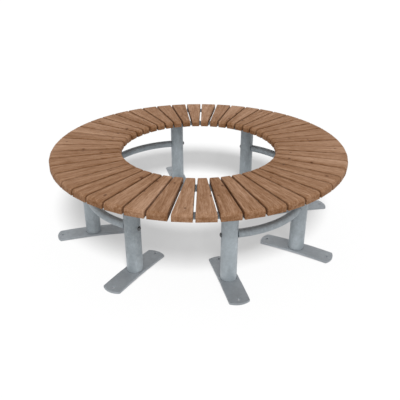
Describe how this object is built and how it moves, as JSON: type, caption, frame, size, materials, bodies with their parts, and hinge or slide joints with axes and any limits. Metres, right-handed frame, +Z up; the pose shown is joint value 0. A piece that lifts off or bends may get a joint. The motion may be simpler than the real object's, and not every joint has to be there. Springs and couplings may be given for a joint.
{
  "type": "circular tree bench",
  "caption": "Round timber-slatted bench in four free-standing quarters on galvanised tube legs, made to stand around a tree.",
  "frame": {"origin": "centre of the tree hole, at ground level under the foot plates", "axes": "+Z up; +X and +Y each run along a joint between two quarters"},
  "size_m": [1.5122, 1.5122, 0.45],
  "materials": {
    "timber": "oiled hardwood",
    "galvanised_flat_bar": "hot-dip galvanised, dull",
    "galvanised_tube": "hot-dip galvanised, dull",
    "galvanised_foot_plate": "hot-dip galvanised, dull",
    "dark_bolt": "dark, satin"
  },
  "bodies": {
    "root": {"quarter_a_slats_right_end": "timber", "quarter_a_slats_between_legs": "timber", "quarter_a_slats_left_end": "timber", "quarter_a_inner_ring_arc": "galvanised_flat_bar", "quarter_a_outer_ring_arc": "galvanised_flat_bar", "quarter_a_right_bearer": "galvanised_flat_bar", "quarter_a_left_bearer": "galvanised_flat_bar", "quarter_a_right_leg_tube": "galvanised_tube", "quarter_a_left_leg_tube": "galvanised_tube", "quarter_a_right_foot_plate": "galvanised_foot_plate", "quarter_a_left_foot_plate": "galvanised_foot_plate", "quarter_a_brace_tube": "galvanised_tube", "quarter_a_brace_bolts": "dark_bolt", "quarter_b_slats_right_end": "timber", "quarter_b_slats_between_legs": "timber", "quarter_b_slats_left_end": "timber", "quarter_b_inner_ring_arc": "galvanised_flat_bar", "quarter_b_outer_ring_arc": "galvanised_flat_bar", "quarter_b_right_bearer": "galvanised_flat_bar", "quarter_b_left_bearer": "galvanised_flat_bar", "quarter_b_right_leg_tube": "galvanised_tube", "quarter_b_left_leg_tube": "galvanised_tube", "quarter_b_right_foot_plate": "galvanised_foot_plate", "quarter_b_left_foot_plate": "galvanised_foot_plate", "quarter_b_brace_tube": "galvanised_tube", "quarter_b_brace_bolts": "dark_bolt", "quarter_c_slats_right_end": "timber", "quarter_c_slats_between_legs": "timber", "quarter_c_slats_left_end": "timber", "quarter_c_inner_ring_arc": "galvanised_flat_bar", "quarter_c_outer_ring_arc": "galvanised_flat_bar", "quarter_c_right_bearer": "galvanised_flat_bar", "quarter_c_left_bearer": "galvanised_flat_bar", "quarter_c_right_leg_tube": "galvanised_tube", "quarter_c_left_leg_tube": "galvanised_tube", "quarter_c_right_foot_plate": "galvanised_foot_plate", "quarter_c_left_foot_plate": "galvanised_foot_plate", "quarter_c_brace_tube": "galvanised_tube", "quarter_c_brace_bolts": "dark_bolt", "quarter_d_slats_right_end": "timber", "quarter_d_slats_between_legs": "timber", "quarter_d_slats_left_end": "timber", "quarter_d_inner_ring_arc": "galvanised_flat_bar", "quarter_d_outer_ring_arc": "galvanised_flat_bar", "quarter_d_right_bearer": "galvanised_flat_bar", "quarter_d_left_bearer": "galvanised_flat_bar", "quarter_d_right_leg_tube": "galvanised_tube", "quarter_d_left_leg_tube": "galvanised_tube", "quarter_d_right_foot_plate": "galvanised_foot_plate", "quarter_d_left_foot_plate": "galvanised_foot_plate", "quarter_d_brace_tube": "galvanised_tube", "quarter_d_brace_bolts": "dark_bolt"}
  },
  "joints": []
}
